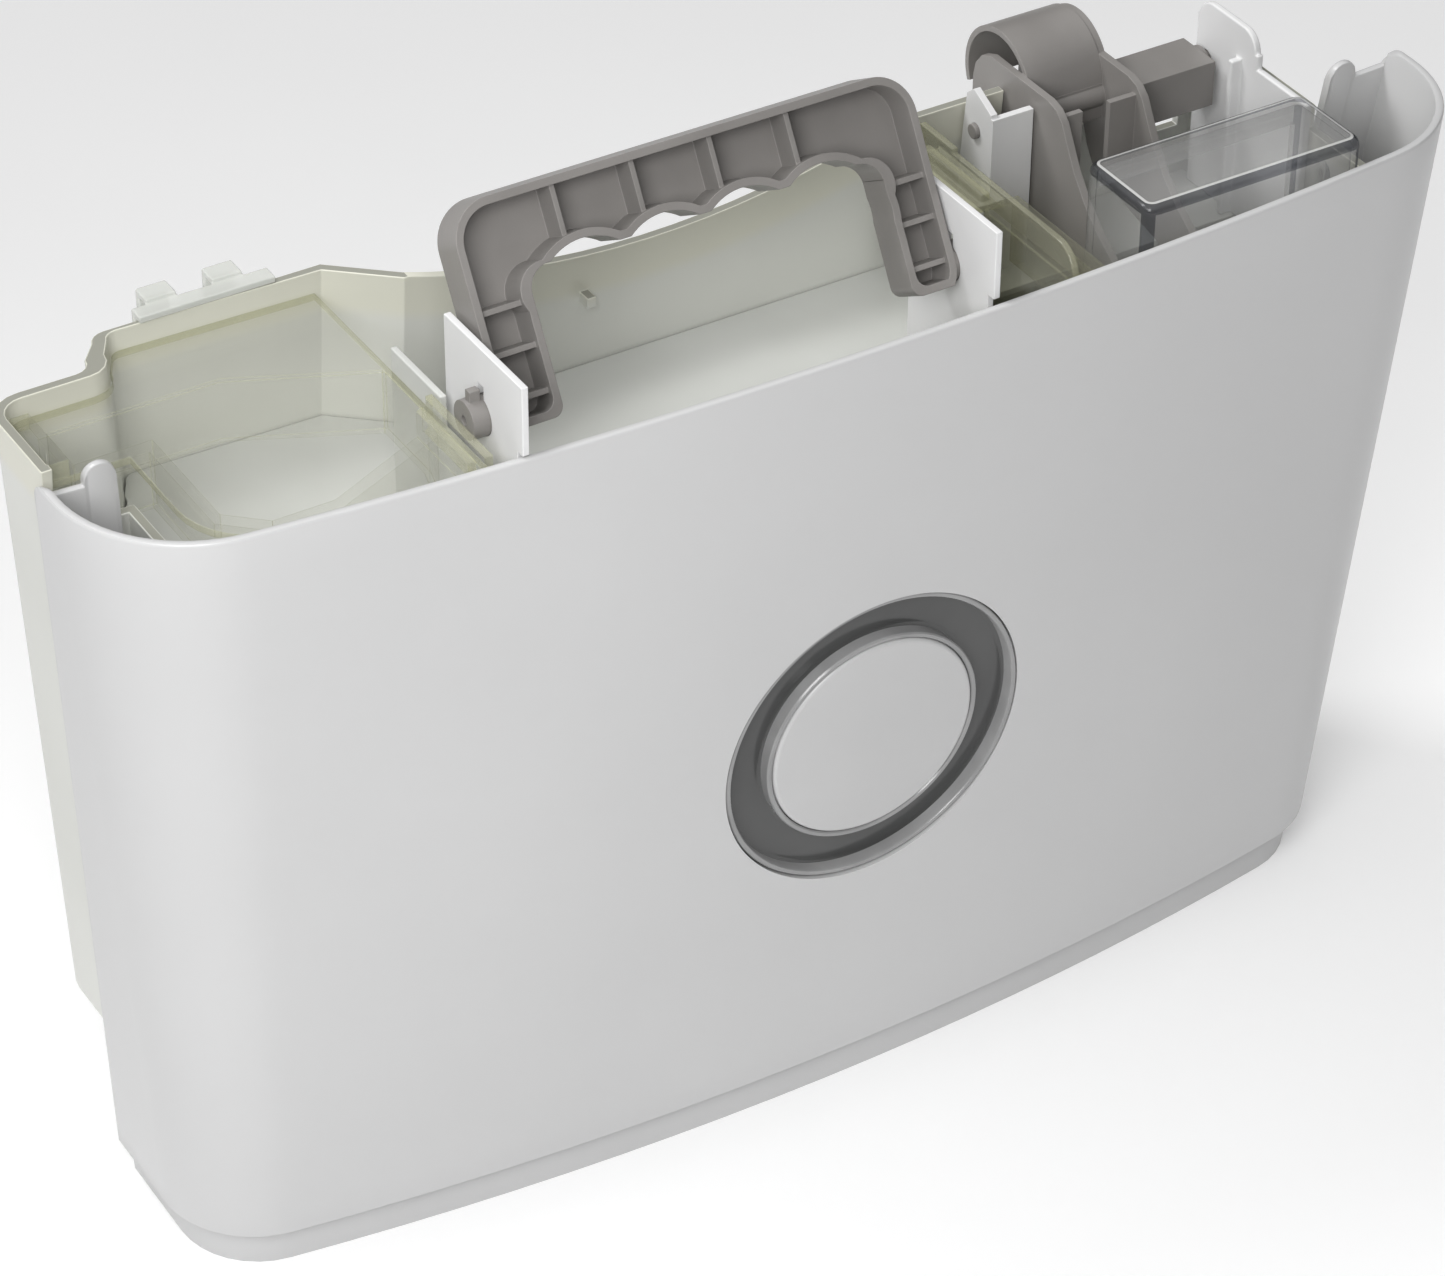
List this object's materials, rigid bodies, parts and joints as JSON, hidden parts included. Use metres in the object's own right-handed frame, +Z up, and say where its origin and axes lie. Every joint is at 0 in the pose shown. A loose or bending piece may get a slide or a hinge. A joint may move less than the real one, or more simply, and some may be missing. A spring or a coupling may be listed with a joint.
{
  "type": "dehumidifier bucket",
  "caption": "Removable water bucket with a bowed white front shell, a round level window, a folding handle, clear splash covers and a float switch lever.",
  "frame": {"origin": "on the floor, under the middle of the bounding box", "axes": "+Z up, -Y out of the bowed front with the round window, +X to the viewer's right when facing that front"},
  "size_m": [0.386, 0.117, 0.2858],
  "materials": {
    "shell_white": "satin",
    "tray_white": "satin",
    "disc_white": "satin",
    "milky_tank": "translucent",
    "clear_plastic": "clear",
    "smoky_clear": "clear",
    "bracket_white": "satin",
    "warm_grey": "satin",
    "ferrite": "matte",
    "float_foam": "matte",
    "screw_steel": "satin"
  },
  "bodies": {
    "bucket": {"front_shell": "shell_white", "base_tray": "tray_white", "water_tank": "milky_tank", "splash_baffle": "milky_tank", "bay_partition": "milky_tank", "splash_lid": "clear_plastic", "rim_hooks": "clear_plastic", "window_ring": "smoky_clear", "window_disc": "disc_white", "handle_bracket_left": "bracket_white", "handle_bracket_right": "bracket_white", "float_post": "bracket_white", "float_bracket": "bracket_white", "float_cover": "clear_plastic", "clear_guard": "clear_plastic", "shell_screws": "screw_steel", "bracket_screws": "screw_steel"},
    "handle": {"handle": "warm_grey"},
    "float_arm": {"float_lever": "warm_grey", "float_axle": "warm_grey", "lever_magnet": "ferrite", "float": "float_foam"}
  },
  "joints": [
    {"name": "handle_pivot", "type": "hinge", "parent": "bucket", "child": "handle", "pos_m": [-0.0281, -0.0348, 0.2415], "axis": [1, 0, 0], "range_deg": [-59.5, 30.5]},
    {"name": "float_pivot", "type": "hinge", "parent": "bucket", "child": "float_arm", "pos_m": [0.116, 0.0205, 0.236], "axis": [1, 0, 0], "range_deg": [-8, 0]}
  ]
}
